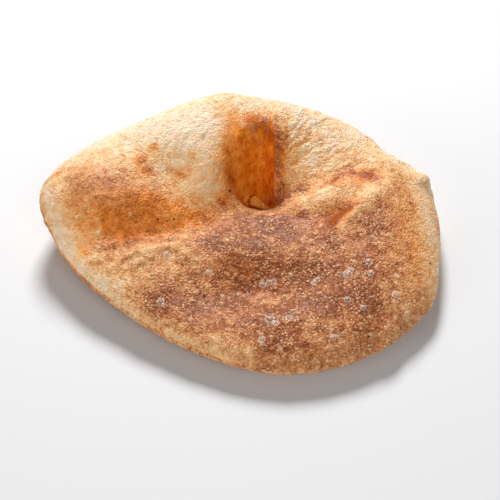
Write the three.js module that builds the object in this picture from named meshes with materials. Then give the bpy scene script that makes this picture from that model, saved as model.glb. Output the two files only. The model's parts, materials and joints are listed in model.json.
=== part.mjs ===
// A round of fried dough, puffed unevenly into a ring around a small torn hole.
// Units are millimetres, +Z is up, and the round lies on its flat underside at z = 0.
// The viewer's side is -Y. The origin is the middle of the bounding box, at its base.
import * as THREE from "three";
import { mergeVertices } from "three/addons/utils/BufferGeometryUtils.js";

// ---- Driving dimensions ----

const HOLE = { x: 9, y: 15 }; // centre of the hole, behind the middle of the round
const THROAT_RADIUS = 4; // the hole at its narrowest
const LIP_ROUND = 3; // how far the hole's wall rounds over into the top
const REST_SHARE = 0.55; // share of the way out to the edge over which the underside lies flat

const AROUND = 104; // mesh steps round the ring
const WALL_STEPS = 6; // mesh steps up the hole's wall
const TOP_STEPS = 22; // mesh steps from the hole out over the top
const EDGE_STEPS = 8; // mesh steps round the outer edge
const BASE_STEPS = 10; // mesh steps back in under the base

// The ring, direction by direction from the hole: pairs of an angle, anticlockwise from +X,
// and a value there. Each list is a closed curve through its pairs.
const RING = {
  // distance from the hole's centre to the outer edge
  reach: [
    [0, 76], [12, 76], [24, 69.5], [45, 68], [70, 61], [90, 60], [115, 64.5], [138, 70], [160, 83.5],
    [181, 95.5], [198, 90.5], [218, 84], [236, 82], [252, 84], [272, 89], [288, 90.5],
    [307, 89], [322, 87], [338, 80],
  ],
  // height of the top beside the hole
  lip: [[0, 14], [45, 10], [90, 5], [135, 8], [180, 13], [225, 16], [270, 16.5], [315, 16]],
  // height of the brow at the top of the hole's wall
  brow: [
    [0, 22], [30, 27], [55, 32], [76, 38], [90, 39.5], [115, 39.5], [135, 37.5], [155, 33],
    [180, 25], [200, 21], [225, 19], [270, 19], [315, 19],
  ],
  // distance from the hole's centre to that brow
  browReach: [
    [0, 12], [30, 11], [55, 12], [76, 20], [90, 23], [115, 21], [135, 16], [155, 13], [180, 12],
    [225, 13], [270, 14], [315, 14],
  ],
  // height of the ring's crest
  crest: [
    [0, 29], [16, 29.5], [30, 32], [50, 36], [70, 40.5], [90, 43], [115, 46.3], [138, 44.8], [160, 39],
    [178, 36], [192, 31.5], [206, 26], [218, 22.5], [236, 21], [272, 19.5], [307, 22.5], [338, 27],
  ],
  // place of that crest, as a share of the way from the hole's lip to the edge
  crestAt: [
    [0, 0.64], [45, 0.55], [90, 0.52], [138, 0.55], [181, 0.64], [218, 0.5], [252, 0.45], [288, 0.5],
    [322, 0.6],
  ],
  // height of the top at the outer edge, before it is rounded over
  shoulder: [
    [0, 17], [45, 14], [90, 16], [138, 19], [181, 28], [200, 20], [218, 16.5], [252, 12], [288, 11],
    [322, 12],
  ],
  // height of the underside at the outer edge, above its flat middle
  lift: [[0, 5], [90, 5], [138, 7], [181, 14], [218, 7], [252, 4], [288, 3], [322, 4]],
  // how far the edge rounds over
  round: [[0, 9], [45, 11], [90, 12], [138, 12], [181, 8], [218, 8], [288, 8], [322, 9]],
};

// Swells (height over 0) and hollows (under 0) of the top. Each is a soft mound of two
// half-widths, the first of them along the direction "turn".
const SWELLS = [
  { x: 5, y: -37, along: 27, across: 12, turn: 3, height: -8 }, // valley in front of the hole
  { x: 16, y: -58, along: 28, across: 9, turn: 3, height: 1 }, // swell along the front
  { x: -38, y: -11, along: 19, across: 7, turn: 13, height: -5 }, // crease under the left lobe
  { x: -42, y: -21, along: 15, across: 5, turn: 12, height: 1.5 }, // fold below that crease
  { x: -62, y: 3, along: 18, across: 11, turn: 155, height: 4 }, // left lobe
  { x: -23, y: 26, along: 17, across: 10, turn: 160, height: 4.5 }, // broad top of the ring at the back left
  { x: -14, y: 13, along: 11, across: 9, turn: 0, height: 5 }, // flank left of the hole
  { x: 50, y: -1, along: 16, across: 5, turn: 42, height: 3.2 }, // ridge on the right
  { x: 41, y: 0, along: 8, across: 6, turn: 44, height: -2.6 }, // hollow beside that ridge
  { x: 34, y: 9, along: 15, across: 5, turn: 18, height: 2.5 }, // ridge from the hole to the right
];

// ---- Numbers along the ring ----

const radians = THREE.MathUtils.degToRad;

// Value of one of RING's curves at any angle: a smooth closed curve through its pairs.
function around(name, degrees) {
  const pairs = RING[name];
  const n = pairs.length;
  const angle = THREE.MathUtils.euclideanModulo(degrees, 360);
  const i = pairs.findLastIndex((pair) => pair[0] <= angle);
  const at = (k) => pairs[(k + n) % n][0] + 360 * Math.floor(k / n);
  const value = (k) => pairs[(k + n) % n][1];
  const slope = (k) => (value(k + 1) - value(k - 1)) / (at(k + 1) - at(k - 1));
  const span = at(i + 1) - at(i);
  const t = (angle - at(i)) / span;
  const t2 = t * t;
  const t3 = t2 * t;
  return (
    (2 * t3 - 3 * t2 + 1) * value(i) +
    (t3 - 2 * t2 + t) * span * slope(i) +
    (3 * t2 - 2 * t3) * value(i + 1) +
    (t3 - t2) * span * slope(i + 1)
  );
}

// What the swells and hollows add to the top's height at a place in plan.
function swellAt(x, y) {
  let sum = 0;
  for (const s of SWELLS) {
    const c = Math.cos(radians(s.turn));
    const d = Math.sin(radians(s.turn));
    const u = ((x - s.x) * c + (y - s.y) * d) / s.along;
    const v = (-(x - s.x) * d + (y - s.y) * c) / s.across;
    sum += s.height * Math.exp(-(u * u + v * v));
  }
  return sum;
}

// ---- Surfaces over the plan ----

// Height of the top at a distance r from the hole, in one direction: up the hole's wall to the
// brow, on to the crest, and down in a dome to the shoulder.
function topHeight(r, degrees) {
  const inner = THROAT_RADIUS + LIP_ROUND;
  const reach = around("reach", degrees);
  const brow = around("brow", degrees);
  const browReach = around("browReach", degrees);
  const crest = around("crest", degrees);
  const crestReach = inner + around("crestAt", degrees) * (reach - inner);
  const rise = (t) => Math.sin((Math.PI / 2) * THREE.MathUtils.clamp(t, 0, 1));
  const ease = (t) => THREE.MathUtils.smoothstep(t, 0, 1);
  const lip = around("lip", degrees);
  const wall = lip + (brow - lip) * rise((r - inner) / (browReach - inner));
  const climb = (crest - brow) * ease((r - inner) / (crestReach - inner));
  const fall = 1 - rise(1 - (r - crestReach) / (reach - crestReach));
  const x = HOLE.x + r * Math.cos(radians(degrees));
  const y = HOLE.y + r * Math.sin(radians(degrees));
  return wall + climb - (crest - around("shoulder", degrees)) * fall + swellAt(x, y);
}

// Height of the underside: flat where it rests, then rising to the lifted edge.
function baseHeight(r, degrees) {
  const out = r / around("reach", degrees);
  const risen = Math.max(0, (out - REST_SHARE) / (1 - REST_SHARE));
  return around("lift", degrees) * risen * risen;
}

// One closed section of the ring in (r, side), where side runs from -1 at the underside to 1 at
// the top: up the hole's wall, out over the top, down round the edge and back under the base.
function section(degrees) {
  const reach = around("reach", degrees);
  const round = around("round", degrees);
  const inner = THROAT_RADIUS + LIP_ROUND;
  const outer = reach - round;
  const points = [];
  for (let i = 0; i < WALL_STEPS; i++) {
    const turn = Math.PI * (i / WALL_STEPS - 0.5);
    points.push([inner - LIP_ROUND * Math.cos(turn), Math.sin(turn)]);
  }
  for (let i = 0; i < TOP_STEPS; i++) {
    points.push([THREE.MathUtils.lerp(inner, outer, i / TOP_STEPS), 1]);
  }
  for (let i = 0; i < EDGE_STEPS; i++) {
    const turn = Math.PI * (0.5 - i / EDGE_STEPS);
    points.push([outer + round * Math.cos(turn), Math.sin(turn)]);
  }
  for (let i = 0; i < BASE_STEPS; i++) {
    points.push([THREE.MathUtils.lerp(outer, inner, i / BASE_STEPS), -1]);
  }
  return points;
}

// ---- The dough ----

function doughGeometry() {
  const positions = [];
  for (let i = 0; i < AROUND; i++) {
    const degrees = (360 * i) / AROUND;
    const c = Math.cos(radians(degrees));
    const s = Math.sin(radians(degrees));
    for (const [r, side] of section(degrees)) {
      const top = topHeight(r, degrees);
      const base = baseHeight(r, degrees);
      positions.push(HOLE.x + r * c, HOLE.y + r * s, base + ((top - base) * (side + 1)) / 2);
    }
  }
  const perSection = positions.length / 3 / AROUND;
  const index = [];
  for (let i = 0; i < AROUND; i++) {
    for (let j = 0; j < perSection; j++) {
      const a = i * perSection + j;
      const b = i * perSection + ((j + 1) % perSection);
      const c = ((i + 1) % AROUND) * perSection + ((j + 1) % perSection);
      const d = ((i + 1) % AROUND) * perSection + j;
      index.push(a, b, c, a, c, d);
    }
  }
  const geometry = new THREE.BufferGeometry();
  geometry.setAttribute("position", new THREE.Float32BufferAttribute(positions, 3));
  geometry.setIndex(index);
  geometry.computeBoundingBox();
  const box = geometry.boundingBox;
  geometry.translate(-(box.min.x + box.max.x) / 2, -(box.min.y + box.max.y) / 2, -box.min.z);
  return mergeVertices(geometry);
}

function doughMaterial() {
  return new THREE.MeshStandardMaterial({ color: 0xc08a56, roughness: 0.6, metalness: 0 });
}

const dough = new THREE.Mesh(doughGeometry(), doughMaterial());
dough.name = "dough_round";

const part = new THREE.Group();
part.add(dough);

export default part;
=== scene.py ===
"""Looks of a round of fried dough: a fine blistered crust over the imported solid, its browning,
and a plain studio. Lengths in the tables are millimetres in the part's frame; +X is right,
+Y is away from the viewer, +Z is up. Colours are screen values from 0 to 255."""

import json
import math

import bmesh
import bpy
import numpy as np
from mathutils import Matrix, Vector, kdtree, noise


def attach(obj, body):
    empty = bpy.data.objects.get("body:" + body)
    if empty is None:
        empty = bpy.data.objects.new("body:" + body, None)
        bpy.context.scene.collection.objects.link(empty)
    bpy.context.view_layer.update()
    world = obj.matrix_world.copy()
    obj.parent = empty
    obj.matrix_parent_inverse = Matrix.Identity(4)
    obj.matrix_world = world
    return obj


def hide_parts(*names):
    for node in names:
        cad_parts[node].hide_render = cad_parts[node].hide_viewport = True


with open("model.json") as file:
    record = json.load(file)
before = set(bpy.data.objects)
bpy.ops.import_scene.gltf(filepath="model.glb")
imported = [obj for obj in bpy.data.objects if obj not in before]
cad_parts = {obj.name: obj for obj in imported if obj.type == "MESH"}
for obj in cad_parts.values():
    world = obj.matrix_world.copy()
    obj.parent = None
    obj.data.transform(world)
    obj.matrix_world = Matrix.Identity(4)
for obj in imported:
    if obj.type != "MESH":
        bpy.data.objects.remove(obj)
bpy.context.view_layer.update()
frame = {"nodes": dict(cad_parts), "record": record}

MM = 0.001
NODE = "dough_round"

# ---- The hole, from the part's own opening ----


def opening_centre(name):
    """Middle of one of the record's openings in plan, in millimetres."""
    openings = frame["record"]["physics"]["openings"]
    low, high = next(o["box_m"] for o in openings if o["name"] == name)
    return np.array([(low[0] + high[0]) / 2, (low[1] + high[1]) / 2]) / MM


HOLE = opening_centre("hole")

# ---- Mesh ----

VOXEL = 0.5  # edge of the fine mesh's faces
WELD = 0.01  # points of the solid closer than this become one
SMOOTH_STEPS = 6  # passes that take the solid's flat faces off the fine mesh
BASE_FACING = -0.8  # a normal's height under which a face is on the underside
MOST_TRIANGLES = 195_000
FLOOR_MARGIN = 1.5  # a face that looks down moves at most its height over this

# ---- Soft places in plan: x, y, half-length, half-width, turn in degrees, amount ----

# raised (over 0) or sunk (under 0), in millimetres
FORMS = [
    # wrinkles under the left lobe
    (-46, -18, 9, 1.9, 14, 1.3),
    (-34, -22, 11, 1.8, 16, 1.2),
    (-28, -15, 9, 1.8, 8, 1.1),
    (-40, -28, 8, 1.6, 30, 0.8),
    (-50, -29, 8, 1.6, 35, 0.8),
    (-22, -24, 6, 2.0, 150, 0.8),
    # ridges on the right
    (50, -2, 13, 1.5, 54, 0.9),  # sharp line of the outer ridge
    (31, 8, 12, 2.4, 20, 0.6),  # line of the ridge from the hole
    (38, 3, 7, 4.5, 20, 1.6),  # soft slope in front of it
    (41, -6, 5, 3.5, 50, 0.9),  # makes the hollow between them shallower
    # lumps between the left lobe and the hole
    (-20, -8, 5, 3.0, 165, 0.9),
    (-27, -3, 4, 3.0, 20, 0.8),
    # round the hole
    (12, 5, 7, 3.5, 0, -1.0),  # front lip
    (-1.5, 19, 9, 4.5, 108, -3.2),  # left side, which falls away more softly
    # outer edge
    (79, 22, 4.5, 3.5, 70, 3.5),  # nub on the right
    (54, -65, 3.5, 1.3, -61, -2.2),  # notch in the front
    (58, -59, 5, 3.5, 30, 1.3),  # bulge beside it
]

BROWN_FRONT = 0.57  # how brown the crust is at the front, from 0 pale to 1 dark
BROWN_BACK = 0.15  # and at the back

# browner (over 0) or paler (under 0); a few places hold painted shade and painted highlight, as
# marked
BROWNING_AND_PAINTED_LIGHT = [
    (8, -32, 52, 30, 0, 0.13),  # middle of the front
    # left lobe
    (-60, 9, 12, 7, 160, 0.12),  # its top
    (-80, 1, 6, 7, 0, -0.36),  # its pale end
    (-55, -20, 6, 2.6, 172, 0.08),  # foot of its front slope
    (-42, -18, 11, 2.8, 5, 0.30),
    (-18, -4, 9, 3.0, 172, 0.08),  # between it and the hole
    # in front of the hole
    (14, -9, 30, 11, 0, 0.29),
    (8, -1, 14, 5, 0, 0.26),  # lip
    (-11, -17, 6, 3.5, 170, 0.46),
    (6, -17, 5, 3, 160, 0.28),
    (4, -24, 9, 5, 0, 0.15),
    (6, -32, 12, 5, 178, 0.36),  # foot of the slope in front of it
    (27, -33, 9, 6, 20, 0.32),
    # front and front right
    (-6, -43, 12, 4, 0, 0.34),
    (0, -46, 40, 6, 0, 0.20),
    (16, -56, 26, 6, 0, 0.26),
    (27, -46, 11, 5, 0, 0.38),
    (40, -34, 18, 10, 0, 0.16),
    (42, -48, 9, 9, 0, 0.20),
    (52, -43, 5, 13, 0, 0.26),
    (37, -18, 7, 5, 0, 0.20),
    (55, -14, 8, 12, 0, 0.28),
    (-32, -44, 8, 5, 0, 0.42),
    (14, -66, 10, 5, 0, 0.38),
    (-20, -54, 16, 7, 155, 0.14),
    (42, -60, 12, 8, 30, 0.12),
    # right
    (41, -4.5, 6, 4, 50, 0.52),  # hollow between the ridges
    (26, 15, 5, 2, 20, 0.40),
    (40, 15, 4.0, 2.4, 15, 0.40),
    (46, 17, 13, 6.5, 8, 0.34),
    (20, 11, 3.5, 3.5, 0, 0.30),
    (28, 33, 7, 2, 55, 0.34),
    (64, 15, 9, 7, 0, 0.22),
    # walls of the hole: browner, partly the crust's own colour and partly painted shade in the
    # hole
    (16.2, 22, 3.0, 11, 0, 0.52),  # right
    (18.5, 31, 4.5, 7, 0, 0.28),
    (13, 34, 6, 4, 0, 0.40),
    (-1, 33, 4, 4, 0, 0.22),
    (11, 28, 2.6, 9, 0, 0.45),  # right side of the amber wall
    # single places
    (20, -50, 9, 4, 0, 0.12),  # front
    (25, 0, 1.7, 1.4, 0, 0.40),  # small spots in front of the hole
    (20, -3, 1.7, 1.4, 0, 0.40),
    (7, 37, 9, 4, 0, 0.28),  # top of the back wall
    (53.5, 15.5, 4, 3.2, 0, 0.66),  # red spot at the ridge's end
    (10, 40, 8, 5, 0, 0.26),  # crest over the hole
    (-5, 41, 5, 5, 0, 0.20),
    # mostly pale places
    (-77, -13, 7, 4, 118, -0.50),  # band along the left edge
    (-68, -20, 8, 5, 118, -0.30),
    (-52, -36, 16, 7, 150, -0.28),
    (-52, -15, 7, 4, 0, -0.12),
    (-34, -23, 15, 5, 10, -0.14),  # wrinkles
    (-27, -11, 9, 5, 5, -0.18),
    (-12, -62, 30, 3.5, 160, -0.16),  # front left edge
    (32, 7, 11, 4.0, 20, -0.40),  # line of the ridge from the hole: paler, partly the crust's own colour and partly painted highlight where the key catches its crest
    (50, -2, 14, 1.8, 54, -0.36),  # line of the outer ridge: paler, partly the crust's own colour and partly painted highlight where the key catches its crest
    (79, -14, 7, 26, 0, -0.40),  # right edge
    (10, -74, 34, 4, 2, 0.10),  # front edge, a little browner
    (-22, 34, 22, 9, 165, -0.27),  # top at the back left
    (-16, 7, 11, 9, 150, -0.42),  # flank left of the hole
    (-5, 20, 12, 4.5, 97, 0.42),  # browner where it drops into the hole
    (32, 42, 10, 4, 150, -0.14),
    (36, 25, 24, 10, 20, 0.08),  # top at the back right, a little browner
    (60, 27, 8, 6, 0, 0.14),
    # spots on the left
    (-43, 18, 3, 1.8, 20, 0.50),
    (-41, 13, 3.2, 1.8, 0, 0.45),
    (-37, 23, 3, 1.8, 0, 0.40),
    (-25, 14, 2.4, 1.6, 0, 0.40),
    (-8, 6, 2.6, 2.0, 0, 0.40),
    (-36, 1, 3, 2.4, 0, 0.08),
    # small pale places
    (-29, -5, 4, 3, 0, -0.24),
    (80, -2, 4, 7, 0, -0.20),
    (47, 3, 13, 4, 25, -0.24),  # slope between the ridges
    (-36, -27, 5, 2.5, 0, -0.18),
    (12, -42, 5, 3, 0, -0.20),
    (43, -56, 5, 3, 0, -0.16),
]

# lumpier crust
LUMPY = [
    (16, -24, 26, 12, 0, 1.0),  # in front of the hole
    (-25, -9, 14, 7, 0, 1.0),  # between the left lobe and the hole
    (48, -22, 14, 12, 0, 0.6),  # front right
]

# smooth skin without grain
SMOOTH = [
    (-65, -19, 5, 6, 20, 1.0),  # under the left lobe
    (-20, 12, 12, 7, 100, 0.6),  # flank left of the hole
    (4, -16, 4, 3, 0, 0.6),
    (41, -4.5, 6.2, 4.5, 50, 1.3),  # hollow between the ridges
    (-50, -12, 9, 4, 165, 0.8),  # front slope of the left lobe
    (10, 3, 12, 3.5, 0, 0.3),  # lip of the hole
]

# painted glow: deep orange, where light comes through thin dough (over 0), or none of it (under
# 0); the spots and the red spot in it are the crust's own colour
GLOW_AND_ORANGE = [
    (40.5, -4.5, 7, 4.6, 50, 1.6),  # hollow between the ridges
    (52, -1, 13, 2.4, 54, -0.5),  # pale ridge beside it
    (-15, 41, 30, 7, 0, -0.5),  # pale crest at the back
    (-50, -12, 15, 7, 172, 1.25),  # front slope of the left lobe
    (40, 13, 3, 2, 15, 0.9),
    (25, 0, 1.7, 1.4, 0, 0.7),
    (20, -3, 1.7, 1.4, 0, 0.7),
    (-35, -3, 12, 6, 165, 0.7),
    (-20, -4, 12, 5, 170, 0.75),
    (-38, -3, 24, 9, 0, 0.42),
    (-69, -6, 11, 7, 0, 0.32),
    (-14, 12, 12, 14, 0, 0.45),
    (42, 16, 14, 5, 12, 0.25),  # behind the ridges on the right
    (-65, -22, 4, 5, 30, 0.7),  # smooth band under the lobe
    (53.5, 15.5, 5, 4, 0, 1.6),  # red spot at the ridge's end
    # spots on the left
    (-43, 18, 3.4, 2.2, 20, 0.9),
    (-41, 13, 3.6, 2.2, 0, 0.8),
    (-37, 23, 3.4, 2.2, 0, 0.8),
    (-25, 14, 2.6, 1.8, 0, 0.6),
    (-8, 6, 2.8, 2.2, 0, 0.5),
    (-36, 1, 3.4, 2.8, 0, 0.7),
    # single places
    (-6, 38, 6, 3, 140, 0.8),
    (-32, -44, 6, 5, 0, 0.35),
    (2, -28, 14, 8, 0, 0.40),
    (21, 26, 4, 6, 0, 0.55),  # right wall of the hole
    (-5, 21, 13, 5.5, 97, 0.95),  # left flank of the hole
    (74, -16, 12, 26, 0, 0.50),
    (26, 28, 15, 10, 30, 0.25),
    (24, -10, 2, 1.5, 0, 0.6),
    (17, 22, 3, 10, 0, 0.5),
    (17, 32, 6, 7, 0, 0.35),
    # pale wrinkles and the front's pale left edge
    (-42, -25, 16, 4.5, 8, -0.5),
    (-40, -46, 22, 8, 145, -0.4),
    (-5, -64, 26, 7, 165, -0.3),
]

# ---- The amber back wall of the hole, whose colour is painted glow of light coming through thin dough; lengths from the hole's centre ----

AMBER_RIGHT = 5.0  # x of its sharp right edge
AMBER_LEFT = (-12.5, -18.5)  # x of its soft left edge at its foot and at its top
AMBER_FOOT = -4.0  # y of its foot at the hole's left side
AMBER_TOP = 27.0  # y of its ragged top
RECESS_FOOT = 4.0  # y from which it lies back behind the fold at its right edge
RECESS = 1.6  # how far it lies back

# ---- Torn flap at the foot of that wall: its two ends, and the way across it ----

FLAP_ENDS = ((3.8, 18.7, 13.8), (12.2, 17.2, 8.2))
FLAP_ACROSS = (0.0, 0.83, 0.55)
FLAP_WIDTH = 3.8
FLAP_THICKNESS = 1.2
FLAP_BEND = 0.9  # how far its ends stand out
FLAP_TAPER = 0.45  # share of its width that its far end loses
FLAP_STEPS = 8

# ---- Blisters and pits: x, y, radius ----

WHITE_BLISTERS = [
    (43, -35, 2.0), (44.5, -33, 1.3), (12, -55, 2.0), (13.5, -57.5, 1.2), (19, -55.5, 1.6),
    (42.5, -46.5, 1.4), (31, -35, 1.5), (29.5, -36, 1.1), (52, -30, 1.4), (52, -34.5, 1.4),
    (62, -43, 1.7), (9.5, -33, 1.4), (12, -32.5, 1.3), (14, -32, 1.1), (-12.5, -30.5, 1.2),
    (-29.5, -24.5, 1.5), (-31, -45, 1.6), (36, -63, 1.3), (8.5, -64, 1.3),
    (48, -50, 1.2), (66, -49, 1.2),
]
PITS = [
    (-4, 10.5, 1.0), (18.5, 17.5, 0.7), (-41, 42, 0.7), (-34.5, -6, 0.7), (-28, -5, 0.7),
    (-14.5, -41, 0.8), (-9, -50.5, 0.6), (15, -60, 0.7), (15.5, -63.5, 0.6), (78, -24, 0.7),
    (50, -61, 0.7),
]
SMALL_BLISTERS = 240  # at most
SMALL_GAP = 4.0  # least distance between them
SMALL_SEED = 7
SMALL_RADIUS = 0.7  # the least, and how much the largest adds
SMALL_TURN = 0.618  # steps their radius through its range
SMALL_HEIGHT = 0.75  # share of a clear blister's height
PIT_DEPTH = 2.2  # times a clear blister's height
DOME_HEIGHT = 0.34  # share of the radius
GROOVE_DEPTH = 0.10
GROOVE_AT = 1.05
GROOVE_WIDTH = 0.18

# ---- Relief of the crust: sizes of its features and their heights ----

SWELL_SIZE, SWELL_HEIGHT = 13, 0.24
LUMP_SIZE, LUMP_HEIGHT = 6.0, 0.28
BUMP_SIZE, BUMP_HEIGHT = 2.6, 0.20
BEAD_SIZE, BEAD_HEIGHT = 1.2, 0.19
BEAD_MORE = 0.13  # more height for the beads at the back right
SPOKE_RIGHT, SPOKE_LEFT, RING_LEFT = 0.62, 0.36, 0.36  # heights of the folds
FIBRE_HEIGHT = 0.22
SEAM_HEIGHT = 0.35
UNDER_CALM = 0.75  # share of the relief that the underside lacks
SMOOTH_CALM = 0.7  # and that smooth skin lacks

# ---- Browning, and painted shade on the side turned away: what is added to the soft places ----

BROWN_BROAD, BROWN_FINE = 0.08, 0.16  # noise
AWAY_PAINTED_SHADE = 0.50  # painted shade: browner on the side turned away from the viewer, which the key lights strongly
BROWN_FOLDS = 0.28  # paler on the folds
BROWN_PALE, BROWN_STRIP = 0.25, 0.25
ORANGE_STRIP, ORANGE_FOLDS = 0.6, 0.4

# ---- Palette ----

CREAM = (255, 230, 206)
PALE_GOLD = (252, 213, 168)
GOLD = (238, 184, 126)
TAN = (212, 149, 99)
BROWN = (184, 114, 70)
DARK = (138, 76, 44)
# orange: for painted glow of light through thin dough, and for the crust's own orange spots
ORANGE_PALE = (252, 196, 126)
ORANGE_MID = (244, 150, 66)
ORANGE_BROWN = (198, 107, 30)
ORANGE_DARK = (150, 72, 18)
# pale grain: painted glints on the finest grains' tips, and the paler body of the small blisters
PALE_GRAIN_AND_GLINT = (255, 216, 172)
# amber wall: painted glow of light coming through thin dough
AMBER_GLOW_LIGHT = (255, 168, 56)
AMBER_GLOW = (236, 122, 22)
AMBER_GLOW_DEEP = (184, 84, 12)
# torn flap: painted glow of light coming through its thin dough
FLAP_GLOW_PALE = (255, 186, 88)
FLAP_GLOW_ORANGE = (255, 144, 52)
# painted highlights and glints on the blisters, and their slightly paler middles
BLISTER_PALE_AND_HIGHLIGHT = (255, 246, 236)
ROSE = (190, 108, 70)
PIT_BROWN = (70, 34, 20)
FLOOR_PALE = (224, 227, 232)


def linear(colour, alpha=1.0):
    """A screen colour as the linear values that shaders take."""
    share = [c / 255 for c in colour]
    low, slope = 0.04045, 12.92
    values = [c / slope if c <= low else ((c + 0.055) / 1.055) ** 2.4 for c in share]
    return (*values, alpha)


# ---- Numpy helpers ----


def ease(x, low, high):
    """0 below low, 1 above high, smooth between."""
    t = np.clip((x - low) / (high - low), 0, 1)
    return t * t * (3 - 2 * t)


def between(x, start, full, fade, end):
    """0 up to start, 1 from full to fade, 0 from end on, smooth between."""
    return ease(x, start, full) * (1 - ease(x, fade, end))


def soft_places(points, table):
    """Sum of soft places from a table, at points in millimetres."""
    total = np.zeros(len(points))
    for x, y, along, across, turn, amount in table:
        c, s = math.cos(math.radians(turn)), math.sin(math.radians(turn))
        dx, dy = points[:, 0] - x, points[:, 1] - y
        u = (dx * c + dy * s) / along
        v = (dy * c - dx * s) / across
        total += amount * np.exp(-(u * u + v * v))
    return total


def noise_at(points, size, seed, octaves=1):
    """Smooth noise, about -1 to 1, with features of that size in millimetres."""
    shift = np.array([17.3, 5.1, 9.7]) * seed
    rough, gap = 1.0, 2.0
    where = (points / size + shift).tolist()
    if octaves == 1:
        return np.array([noise.noise(p) for p in where])
    return np.array([noise.fractal(p, rough, gap, octaves) for p in where])


def cell_domes(points, size, seed):
    """Rounded domes of that size, packed side by side: 1 at their tops, 0 between them."""
    shift = np.array([3.7, 11.9, 7.1]) * seed
    where = (points / size + shift).tolist()
    near = np.array([noise.voronoi(p)[0][0] for p in where])
    return np.clip(1 - near * near * 1.6, 0, 1)


def polar(points):
    """Distance from the hole's axis in millimetres, and angle from +X in degrees."""
    dx, dy = points[:, 0] - HOLE[0], points[:, 1] - HOLE[1]
    return np.hypot(dx, dy), np.degrees(np.arctan2(dy, dx)) % 360


def warped(points, size, amount, seed):
    """Points moved about by noise, so that soft places get uneven edges."""
    shift = np.stack([noise_at(points, size, seed), noise_at(points, size, seed + 1)], axis=1)
    moved = points.copy()
    moved[:, :2] += amount * shift
    return moved


# ---- Mesh data as arrays ----


def coordinates(mesh):
    co = np.empty(len(mesh.vertices) * 3, np.float32)
    mesh.vertices.foreach_get("co", co)
    return co.reshape(-1, 3).astype(float) / MM


def move_to(mesh, points):
    mesh.vertices.foreach_set("co", (points * MM).astype(np.float32).ravel())
    mesh.update()


def normals_of(mesh):
    directions = np.empty(len(mesh.vertices) * 3, np.float32)
    mesh.vertex_normals.foreach_get("vector", directions)
    return directions.reshape(-1, 3).astype(float)


def edge_ends(mesh):
    ends = np.empty(len(mesh.edges) * 2, np.int32)
    mesh.edges.foreach_get("vertices", ends)
    return ends.reshape(-1, 2)


def triangle_count(mesh):
    return len(mesh.loops) - 2 * len(mesh.polygons)


def add_attribute(mesh, name, values):
    attribute = mesh.attributes.new(name, "FLOAT", "POINT")
    attribute.data.foreach_set("value", np.asarray(values, np.float32))


def apply_modifiers(piece):
    depsgraph = bpy.context.evaluated_depsgraph_get()
    made = bpy.data.meshes.new_from_object(piece.evaluated_get(depsgraph), depsgraph=depsgraph)
    piece.modifiers.clear()
    piece.data = made


# ---- The fine mesh ----


def unit(vector):
    vector = np.array(vector, float)
    return vector / np.linalg.norm(vector)


def flap_frame():
    """Middle, directions along, across and out, and length of the torn flap."""
    start, end = (np.array(p) for p in FLAP_ENDS)
    along = unit(end - start)
    across = unit(np.array(FLAP_ACROSS) - np.dot(FLAP_ACROSS, along) * along)
    return (start + end) / 2, along, across, np.cross(along, across), np.linalg.norm(end - start)


def add_flap(bm):
    """A thin bent leaf of dough that stands out of the hole's back wall."""
    middle, along, across, out, length = flap_frame()
    rows = []
    for i in range(FLAP_STEPS + 1):
        t = i / FLAP_STEPS * 2 - 1
        half = FLAP_WIDTH / 2 * math.sqrt(max(0.04, 1 - t ** 4)) * (1 - FLAP_TAPER * t)
        spine = middle + along * (t * length / 2) + out * (FLAP_BEND * t * t)
        edges = [(side * half, layer) for side, layer in ((-1, -1), (1, -1), (1, 1), (-1, 1))]
        row = [spine + across * v + out * (layer * FLAP_THICKNESS / 2) for v, layer in edges]
        rows.append([bm.verts.new(Vector(p) * MM) for p in row])
    for one, two in zip(rows, rows[1:]):
        for k in range(4):
            bm.faces.new((one[k], one[(k + 1) % 4], two[(k + 1) % 4], two[k]))
    bm.faces.new(rows[0][::-1])
    bm.faces.new(rows[-1])


def fine_mesh(node):
    """A dense even mesh of a CAD node with the flap joined on, closed."""
    source = frame["nodes"][node].data.copy()
    bm = bmesh.new()
    bm.from_mesh(source)
    bmesh.ops.remove_doubles(bm, verts=bm.verts, dist=WELD * MM)
    add_flap(bm)
    bmesh.ops.recalc_face_normals(bm, faces=bm.faces)
    bm.to_mesh(source)
    bm.free()
    piece = bpy.data.objects.new("fried_dough", source)
    bpy.context.scene.collection.objects.link(piece)
    remesh = piece.modifiers.new("even", "REMESH")
    remesh.mode = "VOXEL"
    remesh.voxel_size = VOXEL * MM
    apply_modifiers(piece)
    return piece


def neighbour_mean(values, ends, counts):
    """Mean of each vertex's neighbours, for rows of values."""
    total = np.zeros_like(values)
    for k in range(values.shape[1]):
        for a, b in ((0, 1), (1, 0)):
            total[:, k] += np.bincount(ends[:, a], values[ends[:, b], k], len(values))
    return total / counts[:, None]


def smoothed(points, ends, steps, share=0.6, back=-0.62):
    """Points after smoothing passes that nearly keep the volume."""
    counts = np.bincount(ends.ravel(), minlength=len(points)).astype(float)
    for _ in range(steps):
        for amount in (share, back):
            points = points + amount * (neighbour_mean(points, ends, counts) - points)
    return points


def thin_underside(piece):
    """Fewer triangles where the round rests, so that the crust can have more."""
    mesh = piece.data
    facing = normals_of(mesh)[:, 2]
    group = piece.vertex_groups.new(name="underside")
    group.add(np.nonzero(facing < BASE_FACING)[0].tolist(), 1.0, "REPLACE")
    decimate = piece.modifiers.new("thin", "DECIMATE")
    decimate.ratio = min(1.0, MOST_TRIANGLES / triangle_count(mesh))
    decimate.vertex_group = group.name
    decimate.vertex_group_factor = 1.0
    apply_modifiers(piece)
    piece.vertex_groups.clear()


def thin_crust(piece):
    """Fewer triangles where the finished crust is flattest, so that it stays in its limit."""
    decimate = piece.modifiers.new("thin", "DECIMATE")
    decimate.ratio = min(1.0, MOST_TRIANGLES / triangle_count(piece.data))
    apply_modifiers(piece)


# ---- Named places on the crust ----


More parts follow.
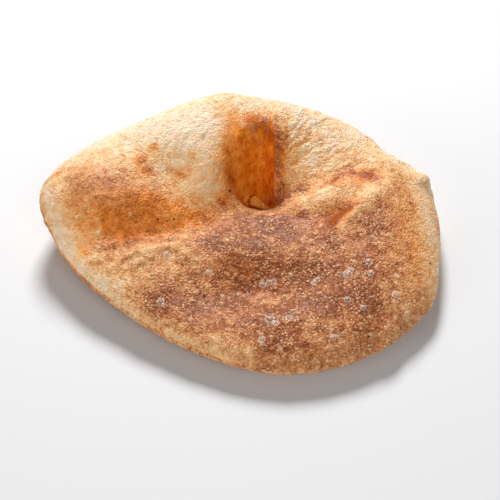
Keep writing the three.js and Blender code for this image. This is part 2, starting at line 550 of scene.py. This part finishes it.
def amber_glow_cover(points, normals):
    """Cover of the amber wall's painted glow, from 0 to 1, with a sharp right edge and a soft
    left one.
    """
    x, y = points[:, 0] - HOLE[0], points[:, 1] - HOLE[1]
    up = np.clip((y - AMBER_FOOT) / (AMBER_TOP - AMBER_FOOT), 0, 1)
    left = AMBER_LEFT[0] + (AMBER_LEFT[1] - AMBER_LEFT[0]) * up
    ragged = noise_at(points * np.array([1, 0.4, 0.4]), 1.6, 21, 2)
    cover = 1 - ease(x, AMBER_RIGHT - 0.3, AMBER_RIGHT + 0.3)
    cover *= ease(x - left + 4.0 * ragged, -5, 7)
    cover *= ease(y - 0.4 * x, -2.5, 0.5)
    cover *= 1 - ease(y + 7 * ragged, AMBER_TOP - 11, AMBER_TOP + 1)
    return cover * (normals[:, 2] > -0.2)


def wall_recess(points):
    """How far the amber wall lies back behind the fold at its right edge."""
    x, y = points[:, 0] - HOLE[0], points[:, 1] - HOLE[1]
    across = between(x, -9, AMBER_RIGHT - 3, AMBER_RIGHT - 0.5, AMBER_RIGHT + 0.5)
    along = between(y, RECESS_FOOT, RECESS_FOOT + 3, AMBER_TOP - 8, AMBER_TOP)
    return RECESS * across * along


def flap_cover(points):
    """1 on the torn flap, 0 elsewhere."""
    middle, along, across, out, length = flap_frame()
    local = (points - middle) @ np.stack([along, across, out], axis=1)
    inside = (np.abs(local[:, 0]) < length / 2 + 0.5) & (np.abs(local[:, 1]) < FLAP_WIDTH / 2)
    return (inside & (local[:, 2] > -0.6) & (local[:, 2] < 2.2)).astype(float)


def share_out(points):
    """How far out each point lies, from 0 at the hole to 1 at the edge in its direction."""
    radius, angle = polar(points)
    sectors = 90
    sector = (angle / 360 * sectors).astype(int) % sectors
    reach = np.zeros(sectors)
    np.maximum.at(reach, sector, radius)
    centres = (np.arange(sectors) + 0.5) * 360 / sectors
    return radius / np.interp(angle, centres, reach, period=360)


def left_band(points, normals):
    """The pale band round the left edge, the orange strip under it, and the seam between."""
    angle = polar(points)[1]
    tilt = np.where(share_out(points) > 0.8, normals[:, 2], 1)
    sector = between(angle, 186, 198, 252, 275)
    strip_sector = between(angle, 165, 176, 214, 226)
    pale = sector * ease(tilt, 0.36, 0.46) * (1 - ease(tilt, 0.72, 0.92))
    strip = strip_sector * (1 - ease(tilt, 0.30, 0.42)) * ease(tilt, -0.5, -0.1)
    seam = strip_sector * np.exp(-(((tilt - 0.42) / 0.06) ** 2))
    return pale, strip, seam


def covers(points, normals):
    """Named places on the crust, each from 0 to 1; the amber wall is painted glow, and the orange
    is partly painted glow.
    """
    pale, strip, seam = left_band(points, normals)
    top = ease(normals[:, 2], -0.3, 0.1)
    glow_and_orange = np.clip(soft_places(warped(points, 5, 1.5, 37), GLOW_AND_ORANGE), 0, 1) * top
    return {
        "amber_glow": amber_glow_cover(points, normals),
        "flap": flap_cover(points),
        "glow_and_orange": np.clip(glow_and_orange + ORANGE_STRIP * strip, 0, 1),
        "pale": pale,
        "strip": strip,
        "seam": seam,
    }


# ---- Relief of the crust ----


def top_share(normals):
    """1 on the top and the upper part of the edge, 0 on the underside."""
    return ease(normals[:, 2], -0.15, 0.25)


def scatter(points, weight, count, gap, seed):
    """Indices of points picked at random by weight, at least gap millimetres apart."""
    random = np.random.default_rng(seed)
    order = random.choice(len(points), size=count * 3, replace=False, p=weight / weight.sum())
    kept = []
    for index in order:
        if len(kept) == count:
            break
        away = np.sum((points[kept] - points[index]) ** 2, axis=1)
        if len(kept) and np.min(away) < gap * gap:
            continue
        kept.append(index)
    return kept


def on_top(points, top, table):
    """The table's round places as (index of the nearest point of the top, radius)."""
    upper = np.nonzero(top > 0.5)[0]
    found = []
    for x, y, radius in table:
        away = (points[upper, 0] - x) ** 2 + (points[upper, 1] - y) ** 2
        found.append((upper[np.argmin(away)], radius))
    return found


def dome_field(points, places, rim=1.35):
    """For round places (index, radius): domes that dip a little at their rims. Returns their
    height in millimetres, and the cover, from 1 at their middles to 0."""
    tree = kdtree.KDTree(len(points))
    for i, p in enumerate(points):
        tree.insert(p, i)
    tree.balance()
    height = np.zeros(len(points))
    cover = np.zeros(len(points))
    for index, radius in places:
        for _, i, distance in tree.find_range(points[index], radius * rim):
            t = distance / radius
            dome = (1 - t * t) ** 2 if t < 1 else 0.0
            groove = math.exp(-(((t - GROOVE_AT) / GROOVE_WIDTH) ** 2))
            height[i] += radius * (DOME_HEIGHT * dome - GROOVE_DEPTH * groove)
            cover[i] = max(cover[i], 1 - t if t < 1 else 0.0)
    return height, cover


def lumps_and_bumps(points):
    lumpy = 1 + soft_places(points, LUMPY)
    swells = SWELL_HEIGHT * noise_at(points, SWELL_SIZE, 1)
    lumps = swells + LUMP_HEIGHT * lumpy * noise_at(points, LUMP_SIZE, 2)
    bumps = BUMP_HEIGHT * lumpy * noise_at(points, BUMP_SIZE, 3)
    return lumps, bumps


def skin(points, cover):
    """How smooth the skin is, and how grainy, each from 0 to 1."""
    smooth = np.clip(soft_places(warped(points, 6, 2, 31), SMOOTH) + cover["amber_glow"], 0, 1)
    patches = ease(noise_at(points, 5.0, 8), -0.45, 0.05)
    soft = ease(-points[:, 0], -8, 12) * ease(points[:, 1], -14, 4)
    grain = (0.55 + 0.45 * patches) * (1 - smooth) * (1 - 0.2 * soft)
    return smooth, grain


def folds(points):
    """Height of the folds that run out from the hole and round it, and the back right's share."""
    radius, angle = polar(points)
    bent = np.radians(angle + 7 * noise_at(points, 9, 15))
    spokes = np.stack([np.cos(bent) * 13, np.sin(bent) * 13, radius / 12], axis=1)
    rings = np.stack([np.cos(bent) * 4, np.sin(bent) * 4, radius / 1.7], axis=1)
    right_back = between(angle, 2, 18, 62, 84) * ease(radius, 9, 20)
    left_front = between(angle, 178, 195, 262, 290) * ease(radius, 56, 70)
    left_back = between(angle, 100, 120, 165, 185) * ease(radius, 20, 32)
    height = noise_at(spokes, 1.0, 6) * (SPOKE_RIGHT * right_back + SPOKE_LEFT * left_front)
    height += noise_at(rings, 1.0, 19) * RING_LEFT * left_back
    return height, right_back


def small_blisters(points, weight):
    """Scattered small blisters as (index of a point, radius)."""
    picked = scatter(points, weight, SMALL_BLISTERS, SMALL_GAP, SMALL_SEED)
    return [
        (i, SMALL_RADIUS + SMALL_RADIUS * ((k * SMALL_TURN) % 1)) for k, i in enumerate(picked)
    ]


def relief(points, normals, cover):
    """How far the crust stands out of the smooth form, in millimetres, and its attributes."""
    top = top_share(normals)
    under = ease(-normals[:, 2], 0.5, 0.9)
    crust = 1 - UNDER_CALM * under
    lumps, bumps = lumps_and_bumps(points)
    smooth, grain = skin(points, cover)
    domes = cell_domes(points, BEAD_SIZE, 5)
    streaks, right_back = folds(points)
    fibres = noise_at(points * np.array([1, 0.18, 0.18]), 0.8, 17) * cover["amber_glow"]
    weight = (top + 0.02) * (1 - 0.9 * smooth) * (1 - cover["amber_glow"])
    white_height, white_cover = dome_field(points, on_top(points, top, WHITE_BLISTERS))
    small_height, small_cover = dome_field(points, small_blisters(points, weight))
    pit_height, pit_cover = dome_field(points, on_top(points, top, PITS))

    out = top * soft_places(points, FORMS) + crust * lumps * (1 - SMOOTH_CALM * smooth)
    beads = (BEAD_HEIGHT + BEAD_MORE * right_back) * domes * grain
    out += crust * (bumps * (1 - SMOOTH_CALM * smooth) + beads + streaks)
    out += FIBRE_HEIGHT * fibres + SEAM_HEIGHT * cover["seam"]
    out += white_height + SMALL_HEIGHT * small_height - PIT_DEPTH * pit_height
    attributes = {
        "dome": domes * grain,
        "grain": grain,
        "blister": white_cover,
        "small_blister": small_cover,
        "pit": pit_cover,
        "under": under,
        "streak": streaks,
    }
    return out, attributes


def browning_and_painted_light(points, normals, cover, streak):
    """How brown the crust is, from 0 pale to 1 dark, with painted shade on the side turned away.
    """
    places = warped(warped(points, 14, 3.0, 33), 4.5, 1.6, 35)
    brown = BROWN_FRONT + (BROWN_BACK - BROWN_FRONT) * ease(points[:, 1], 0, 28)
    brown += BROWN_BROAD * noise_at(points, 17, 11, 2) + BROWN_FINE * noise_at(points, 4.5, 12, 3)
    # painted shade on the side turned away from the viewer
    brown += AWAY_PAINTED_SHADE * ease(normals[:, 1], 0.4, 0.85)
    brown += top_share(normals) * soft_places(places, BROWNING_AND_PAINTED_LIGHT) - BROWN_FOLDS * streak
    brown -= BROWN_PALE * cover["pale"]
    brown += BROWN_STRIP * cover["strip"]
    return np.clip(brown, 0, 1)


def raised(points, normals, out, cover):
    """Points moved out along their normals, with the wall's recess, and none under the floor."""
    out = np.where(normals[:, 2] < 0, np.minimum(out, points[:, 2] / FLOOR_MARGIN), out)
    moved = points + normals * out[:, None]
    moved[:, 1] += wall_recess(points) * (1 - cover["flap"])
    moved[:, 2] = np.maximum(moved[:, 2], 0)
    return moved


def make_dough():
    piece = fine_mesh(NODE)
    thin_underside(piece)
    mesh = piece.data
    points = smoothed(coordinates(mesh), edge_ends(mesh), SMOOTH_STEPS)
    move_to(mesh, points)
    normals = normals_of(mesh)
    cover = covers(points, normals)
    out, attributes = relief(points, normals, cover)
    move_to(mesh, raised(points, normals, out, cover))
    streak = attributes.pop("streak")
    attributes["brown"] = browning_and_painted_light(points, normals, cover, streak)
    in_folds = ORANGE_FOLDS * ease(-streak, 0.05, 0.45)
    cover["glow_and_orange"] = np.clip(cover["glow_and_orange"] + in_folds, 0, 1)
    for name in ("amber_glow", "flap", "glow_and_orange"):
        attributes[name] = cover[name]
    for name, values in attributes.items():
        add_attribute(mesh, name, values)
    thin_crust(piece)
    piece.data.shade_smooth()
    return piece


# ---- Materials ----


class Nodes:
    """A material's node tree, with short ways to add to it."""

    def __init__(self, name):
        self.material = bpy.data.materials.new(name)
        self.material.use_nodes = True
        self.tree = self.material.node_tree
        self.shader = self.tree.nodes["Principled BSDF"]

    def add(self, kind, **settings):
        node = self.tree.nodes.new(kind)
        for key, value in settings.items():
            setattr(node, key, value)
        return node

    def link(self, source, target):
        self.tree.links.new(source, target)

    def set(self, socket, value):
        """Puts a number, a colour or another node's output on a socket."""
        if isinstance(value, bpy.types.NodeSocket):
            self.link(value, socket)
        else:
            socket.default_value = value

    def attribute(self, name):
        return self.add("ShaderNodeAttribute", attribute_name=name).outputs["Fac"]

    def noise(self, size, detail=2.0, roughness=0.5, stretch=(1, 1, 1)):
        """Noise with features of that size in millimetres, from 0 to 1."""
        node = self.add("ShaderNodeTexNoise")
        scaled = self.add("ShaderNodeVectorMath", operation="MULTIPLY")
        self.link(self.place(), scaled.inputs[0])
        scaled.inputs[1].default_value = stretch
        self.link(scaled.outputs["Vector"], node.inputs["Vector"])
        node.inputs["Scale"].default_value = 1 / (size * MM)
        node.inputs["Detail"].default_value = detail
        node.inputs["Roughness"].default_value = roughness
        return node.outputs["Fac"]

    def voronoi(self, size, feature):
        node = self.add("ShaderNodeTexVoronoi", feature=feature)
        self.link(self.place(), node.inputs["Vector"])
        node.inputs["Scale"].default_value = 1 / (size * MM)
        return node

    def cells(self, size):
        """Distance from the middle of cells of that size in millimetres."""
        node = self.voronoi(size, "SMOOTH_F1")
        node.inputs["Smoothness"].default_value = 0.3
        return node.outputs["Distance"]

    def grains(self, size):
        """A random number from 0 to 1 for each grain of that size in millimetres."""
        parts = self.add("ShaderNodeSeparateColor")
        self.link(self.voronoi(size, "F1").outputs["Color"], parts.inputs["Color"])
        return parts.outputs["Red"]

    def place(self):
        return self.add("ShaderNodeTexCoord").outputs["Object"]

    def math(self, operation, a, b=0.0, c=0.0):
        node = self.add("ShaderNodeMath", operation=operation)
        for socket, value in zip(node.inputs, (a, b, c)):
            self.set(socket, value)
        return node.outputs["Value"]

    def ranged(self, value, low, high, to_low=0.0, to_high=1.0):
        node = self.add("ShaderNodeMapRange", clamp=True)
        self.set(node.inputs["Value"], value)
        for name, number in zip(
            ("From Min", "From Max", "To Min", "To Max"), (low, high, to_low, to_high)
        ):
            node.inputs[name].default_value = number
        return node.outputs["Result"]

    def ramp(self, value, stops):
        """A colour by value. A stop is a place and a screen colour, or a place and a number."""
        node = self.add("ShaderNodeValToRGB")
        self.set(node.inputs["Fac"], value)
        elements = node.color_ramp.elements
        while len(elements) < len(stops):
            elements.new(0.5)
        for element, (place, shade) in zip(elements, stops):
            plain = isinstance(shade, float)
            element.position = place
            element.color = (shade, shade, shade, 1.0) if plain else linear(shade)
        return node.outputs["Color"]

    def mix(self, share, a, b):
        node = self.add("ShaderNodeMix", data_type="RGBA")
        colours = [s for s in node.inputs if s.type == "RGBA"]
        self.set(node.inputs["Factor"], share)
        self.set(colours[0], a)
        self.set(colours[1], b)
        return next(s for s in node.outputs if s.type == "RGBA")

    def bump(self, height, strength, distance, normal=None):
        node = self.add("ShaderNodeBump")
        node.inputs["Strength"].default_value = strength
        node.inputs["Distance"].default_value = distance * MM
        self.link(height, node.inputs["Height"])
        if normal is not None:
            self.link(normal, node.inputs["Normal"])
        return node.outputs["Normal"]


# sizes of the material's patterns, in millimetres
MOTTLE_SIZE = 2.6
SPECKLE_SIZE = 0.55
SPOT_SIZE = 3.6
ROSE_SIZE = 2.3
# painted glints on the finest grains, of this size
GLINT_SIZE = 0.65
VEIN_SIZE = 2.4
LEAF_SIZE = 1.6
GLOSS_SIZE = 2.2
CELL_SIZE = 0.95
MICRO_SIZE = 0.45

# how strongly they show, from 0 to 1
MOTTLE = 0.15
SPECKLE = 0.17
SPOT_BROWN, SPOT_ORANGE = 0.16, 0.35
ROSE_SHARE = 0.18
# painted glints on the finest grains
GLINT_SHARE = 0.60
VEIN_DARKER = 0.16
# small blisters: how much paler, and how strong the painted glints at their tips are
SMALL_SHARE, SMALL_GLINT_SHARE = 0.3, 0.55
PIT_SHARE = 0.95
WET = 0.28  # how much less rough a clear blister is

# a value from 0 to 1, and the colour there
PLAIN_STOPS = [
    (0.0, CREAM), (0.2, PALE_GOLD), (0.4, GOLD), (0.6, TAN), (0.8, BROWN), (1.0, DARK),
]
GLOW_AND_ORANGE_STOPS = [(0.1, ORANGE_PALE), (0.5, ORANGE_MID), (0.8, ORANGE_BROWN), (1.0, ORANGE_DARK)]
AMBER_GLOW_STOPS = [(0.28, AMBER_GLOW_DEEP), (0.45, AMBER_GLOW), (0.62, AMBER_GLOW_LIGHT)]
FLAP_GLOW_STOPS = [(0.40, FLAP_GLOW_ORANGE), (0.55, FLAP_GLOW_PALE)]
# clear blisters: a painted highlight on the rim and at the tip, and a slightly paler middle
BLISTER_PALE_AND_HIGHLIGHT_STOPS = [(0.0, 0.0), (0.14, 0.6), (0.3, 0.18), (0.7, 0.15), (0.92, 0.75)]


def baked_colour(n):
    """Pale to dark brown, or orange, by the attributes; the orange is partly painted glow of
    light through thin dough and partly the crust's own orange spots. Also returns how plain, not
    orange.
    """
    mottle = n.ranged(n.noise(MOTTLE_SIZE, 3.0, 0.6), 0.3, 0.7, -MOTTLE, MOTTLE)
    share = n.ranged(n.attribute("grain"), 0.0, 1.0, 0.35, 1.0)
    speckle = n.ranged(n.grains(SPECKLE_SIZE), 0.0, 1.0, -SPECKLE, SPECKLE)
    spots = n.ranged(n.noise(SPOT_SIZE, 2.0, 0.6), 0.58, 0.70)
    brown = n.math("ADD", n.attribute("brown"), mottle)
    brown = n.math("ADD", brown, n.math("MULTIPLY", speckle, share))
    brown = n.math("ADD", brown, n.math("MULTIPLY", spots, SPOT_BROWN))
    # painted glow where light comes through thin dough, with the crust's own orange spots
    glow_and_spots = n.math("MAXIMUM", n.attribute("glow_and_orange"), n.math("MULTIPLY", spots, SPOT_ORANGE))
    colour = n.mix(glow_and_spots, n.ramp(brown, PLAIN_STOPS), n.ramp(brown, GLOW_AND_ORANGE_STOPS))
    return colour, n.ranged(glow_and_spots, 0.0, 1.0, 1.0, 0.25)


def with_rose(n, colour, plainly):
    rose = n.ranged(n.noise(ROSE_SIZE, 3.0, 0.7), 0.60, 0.74, 0.0, ROSE_SHARE)
    return n.mix(n.math("MULTIPLY", rose, plainly), colour, linear(ROSE))


def with_painted_glints(n, colour, plainly):
    """Some of the finest grains are pale at their tops: painted glints."""
    bright = n.ranged(n.grains(GLINT_SIZE), 0.80, 0.92)
    grain = n.math("MULTIPLY", n.attribute("grain"), plainly)
    glints = n.math("MULTIPLY", n.math("MULTIPLY", bright, grain), GLINT_SHARE)
    return n.mix(glints, colour, linear(PALE_GRAIN_AND_GLINT))


# painted glow on the amber wall: veined orange for light coming through thin dough, a little
# darker where browner
def with_amber_glow(n, colour):
    darker = n.ranged(n.attribute("brown"), 0.4, 1.0, 0.0, VEIN_DARKER)
    veins = n.math("SUBTRACT", n.noise(VEIN_SIZE, 6.0, 0.7, (1, 0.55, 0.55)), darker)
    return n.mix(n.attribute("amber_glow"), colour, n.ramp(veins, AMBER_GLOW_STOPS))


# painted glow on the torn flap: bright yellow-orange for light coming through its thin dough
def with_flap_glow(n, colour):
    leaf = n.ramp(n.noise(LEAF_SIZE, 3.0, 0.6), FLAP_GLOW_STOPS)
    return n.mix(n.attribute("flap"), colour, leaf)


def with_blisters(n, colour):
    """Small blisters, a little paler, with painted glints at their tips, and clear ones with a
    painted highlight on the rim and at the tip over a slightly paler middle.
    """
    small = n.ranged(n.attribute("small_blister"), 0.0, 0.35, 0.0, SMALL_SHARE)
    colour = n.mix(small, colour, linear(PALE_GRAIN_AND_GLINT))
    glints = n.ranged(n.attribute("small_blister"), 0.62, 0.9, 0.0, SMALL_GLINT_SHARE)
    colour = n.mix(glints, colour, linear(BLISTER_PALE_AND_HIGHLIGHT))
    return n.mix(n.ramp(n.attribute("blister"), BLISTER_PALE_AND_HIGHLIGHT_STOPS), colour, linear(BLISTER_PALE_AND_HIGHLIGHT))


def with_pits(n, colour):
    pit = n.ranged(n.attribute("pit"), 0.15, 0.5, 0.0, PIT_SHARE)
    return n.mix(pit, colour, linear(PIT_BROWN))


def crust_colour(n):
    colour, plainly = baked_colour(n)
    colour = with_rose(n, colour, plainly)
    colour = with_painted_glints(n, colour, plainly)
    colour = with_amber_glow(n, colour)
    colour = with_flap_glow(n, colour)
    colour = with_blisters(n, colour)
    return with_pits(n, colour)


def crust_normal(n):
    """Micro-blisters and grain too fine for the mesh."""
    grain = n.ranged(n.attribute("grain"), 0.0, 1.0, 0.25, 1.0)
    domes = n.math("MULTIPLY", n.ranged(n.cells(CELL_SIZE), 0.0, 0.7, 1.0, 0.0), grain)
    normal = n.bump(domes, 0.9, 0.42)
    return n.bump(n.noise(MICRO_SIZE, 2.0, 0.6), 0.4, 0.18, normal)


def crust_roughness(n):
    wet = n.ranged(n.attribute("blister"), 0.0, 0.15, 0.0, WET)
    return n.math("SUBTRACT", n.ranged(n.noise(GLOSS_SIZE, 2.0), 0.3, 0.7, 0.38, 0.56), wet)


def crust_material():
    n = Nodes("fried_crust")
    shader = n.shader
    n.link(crust_colour(n), shader.inputs["Base Color"])
    n.link(crust_normal(n), shader.inputs["Normal"])
    n.link(crust_roughness(n), shader.inputs["Roughness"])
    shader.inputs["IOR"].default_value = 1.33
    shader.inputs["Specular IOR Level"].default_value = 0.36
    shader.inputs["Coat Weight"].default_value = 0.03
    shader.inputs["Coat Roughness"].default_value = 0.3
    shader.inputs["Subsurface Weight"].default_value = 0.35
    shader.inputs["Subsurface Radius"].default_value = (1.0, 0.6, 0.4)
    shader.inputs["Subsurface Scale"].default_value = 1.5 * MM
    return n.material


def floor_material():
    n = Nodes("pale_floor")
    n.shader.inputs["Base Color"].default_value = linear(FLOOR_PALE)
    n.shader.inputs["Roughness"].default_value = 0.7
    return n.material


# ---- Studio, in metres apart from the camera's place ----

FRAME_PIXELS = 500
FOCAL_PIXELS = 1042
SENSOR = 36.0
CAMERA_PLACE = (4.1, -327.3, 316.1)
CAMERA_TILT = 44.0  # degrees that the camera looks down
FLOOR_HALF = 4.0
LIGHT_AIM = (0, 0, 0.02)
WORLD_COLOUR = (1.0, 0.97, 0.94, 1.0)
WORLD_STRENGTH = 0.15

# name, place, width, power, colour, and whether it shows in what shines
LIGHTS = [
    ("key", (-0.06, 1.0, 0.92), 0.42, 22.0, (1.0, 0.98, 0.95), True),
    ("front", (0.35, -1.12, 0.95), 0.9, 6.4, (1.0, 0.96, 0.90), False),
    ("left", (-1.0, -0.9, 0.42), 0.8, 5.5, (1.0, 0.98, 0.95), False),
]


def add_camera():
    data = bpy.data.cameras.new("camera")
    data.sensor_width = SENSOR
    data.lens = SENSOR * FOCAL_PIXELS / FRAME_PIXELS
    data.clip_start = 0.01
    camera = bpy.data.objects.new("camera", data)
    camera.location = Vector(CAMERA_PLACE) * MM
    camera.rotation_euler = (math.radians(90 - CAMERA_TILT), 0, 0)
    bpy.context.scene.collection.objects.link(camera)
    bpy.context.scene.camera = camera


def add_floor():
    side = FLOOR_HALF
    mesh = bpy.data.meshes.new("floor")
    corners = [(-side, -side, 0), (side, -side, 0), (side, side, 0), (-side, side, 0)]
    mesh.from_pydata(corners, [], [(0, 1, 2, 3)])
    floor = bpy.data.objects.new("floor", mesh)
    mesh.materials.append(floor_material())
    bpy.context.scene.collection.objects.link(floor)


def add_area_light(name, place, size, power, colour, shine):
    data = bpy.data.lights.new(name, "AREA")
    data.shape = "DISK"
    data.size = size
    data.energy = power
    data.color = colour
    light = bpy.data.objects.new(name, data)
    light.location = place
    light.visible_glossy = shine
    aim = Vector(LIGHT_AIM) - Vector(place)
    light.rotation_euler = aim.to_track_quat("-Z", "Y").to_euler()
    bpy.context.scene.collection.objects.link(light)


def add_world():
    world = bpy.data.worlds.new("studio")
    world.use_nodes = True
    background = world.node_tree.nodes["Background"]
    background.inputs["Color"].default_value = WORLD_COLOUR
    background.inputs["Strength"].default_value = WORLD_STRENGTH
    bpy.context.scene.world = world
    bpy.context.scene.view_settings.view_transform = "Standard"


# ---- The scene ----

add_camera()
add_floor()
for light in LIGHTS:
    add_area_light(*light)
add_world()
dough = make_dough()
dough.data.materials.clear()
dough.data.materials.append(crust_material())
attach(dough, "root")
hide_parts(NODE)
